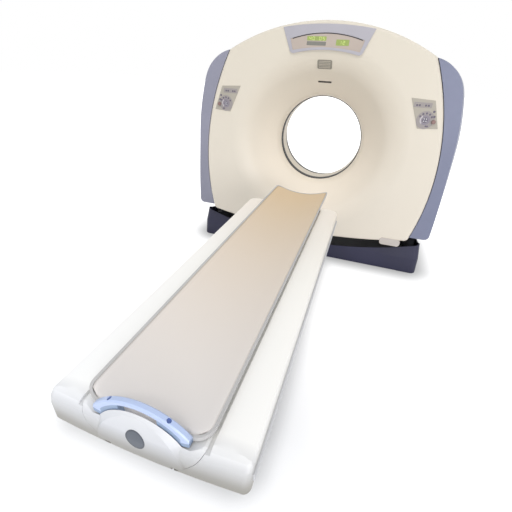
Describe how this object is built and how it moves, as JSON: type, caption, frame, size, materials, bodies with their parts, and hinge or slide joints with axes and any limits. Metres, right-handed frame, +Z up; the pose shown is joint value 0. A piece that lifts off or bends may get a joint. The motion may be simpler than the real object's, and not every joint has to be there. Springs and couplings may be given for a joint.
{
  "type": "ct scanner",
  "caption": "Medical CT scanner: tilting gantry with a round patient bore, spinning scan frame inside, and a lifting patient table with a sliding cradle.",
  "frame": {"origin": "on the floor, straight under the point where the bore axis crosses the tilt axis", "axes": "+X to the right seen from the table, +Y from the table through the bore, +Z up"},
  "size_m": [2.2308, 3.39, 1.8858],
  "materials": {
    "cover_ivory": "satin",
    "cover_blue": "satin",
    "panel_lilac": "satin",
    "window_grey": "gloss",
    "keypad_grey": "satin",
    "button_red": "gloss",
    "ring_black": "matt",
    "liner_tan": "satin",
    "grille_ivory": "matt",
    "laser_dark": "gloss",
    "base_navy": "matt",
    "steel_grey": "satin",
    "steel_bare": "brushed",
    "alloy": "satin",
    "iron": "matt",
    "table_white": "satin",
    "pan_grey": "matt",
    "trim_lilac": "satin",
    "cradle_fibre": "satin",
    "mat_grey": "matt",
    "handle_blue": "satin",
    "plug_blue": "matt"
  },
  "bodies": {
    "base": {"gantry_base_frame": "steel_grey", "plinth_front": "base_navy", "plinth_rear": "base_navy", "post_left": "steel_grey", "post_right": "steel_grey", "tilt_bearings": "iron", "tilt_gearmotor": "iron", "floor_duct": "base_navy", "table_floor_plate": "base_navy", "skirt_lower": "base_navy", "lift_tubes_lower": "steel_bare"},
    "gantry": {"front_cover": "cover_ivory", "rear_cover": "cover_ivory", "side_cover_left": "cover_blue", "side_cover_right": "cover_blue", "top_cover": "cover_ivory", "belly_cover": "cover_ivory", "display_frame": "panel_lilac", "display_window": "window_grey", "speaker_grille": "grille_ivory", "laser_window": "laser_dark", "latch_plate": "cover_blue", "keypad_left": "keypad_grey", "keypad_right": "keypad_grey", "bore_liner": "liner_tan", "throat_ring_front": "ring_black", "throat_ring_rear": "ring_black", "tilt_frame": "steel_grey", "trunnions": "steel_bare", "cover_mounts": "steel_bare", "main_bearing_outer": "steel_bare", "brush_block": "ring_black"},
    "rotor": {"rotor_ring": "alloy", "main_bearing_inner": "steel_bare", "xray_tube": "steel_grey", "collimator": "iron", "detector_arc": "alloy", "hv_generator": "steel_grey", "heat_exchanger": "alloy", "counterweights": "iron", "slip_ring": "ring_black"},
    "lift_stage": {"skirt_middle": "base_navy", "lift_tubes_middle": "steel_bare"},
    "table_top": {"skirt_upper": "base_navy", "lift_tubes_upper": "steel_bare", "table_cover": "table_white", "table_under_pan": "pan_grey", "table_beams": "steel_grey", "nose_cover": "table_white", "side_trims": "trim_lilac", "cradle_guides": "steel_bare"},
    "cradle": {"cradle_board": "cradle_fibre", "cradle_mat": "mat_grey", "cradle_end_cap": "plug_blue", "cradle_handle": "handle_blue", "handle_plugs": "plug_blue", "cradle_carriage": "alloy"},
    "stop_left": {"stop_button_left": "button_red"},
    "stop_right": {"stop_button_right": "button_red"}
  },
  "joints": [
    {"name": "gantry_tilt", "type": "hinge", "parent": "base", "child": "gantry", "pos_m": [0, 0, 1.04], "axis": [1, 0, 0], "range_deg": [-30, 30]},
    {"name": "rotor_spin", "type": "hinge", "parent": "gantry", "child": "rotor", "pos_m": [0, 0, 1.04], "axis": [0, 1, 0], "continuous": true},
    {"name": "table_lift", "type": "slide", "parent": "base", "child": "table_top", "axis": [0, 0, 1], "range_m": [-0.3, 0.18]},
    {"name": "lift_stage_slide", "type": "slide", "parent": "base", "child": "lift_stage", "axis": [0, 0, 1], "range_m": [-0.15, 0.09]},
    {"name": "cradle_slide", "type": "slide", "parent": "table_top", "child": "cradle", "axis": [0, 1, 0], "range_m": [0, 1.5]},
    {"name": "stop_left_press", "type": "slide", "parent": "gantry", "child": "stop_left", "axis": [0, 1, 0], "range_m": [0, 0.004], "stiffness_N_per_m": 1500},
    {"name": "stop_right_press", "type": "slide", "parent": "gantry", "child": "stop_right", "axis": [0, 1, 0], "range_m": [0, 0.004], "stiffness_N_per_m": 1500}
  ],
  "couplings": [
    {"joint": "lift_stage_slide", "follows": "table_lift", "ratio": 0.5}
  ]
}
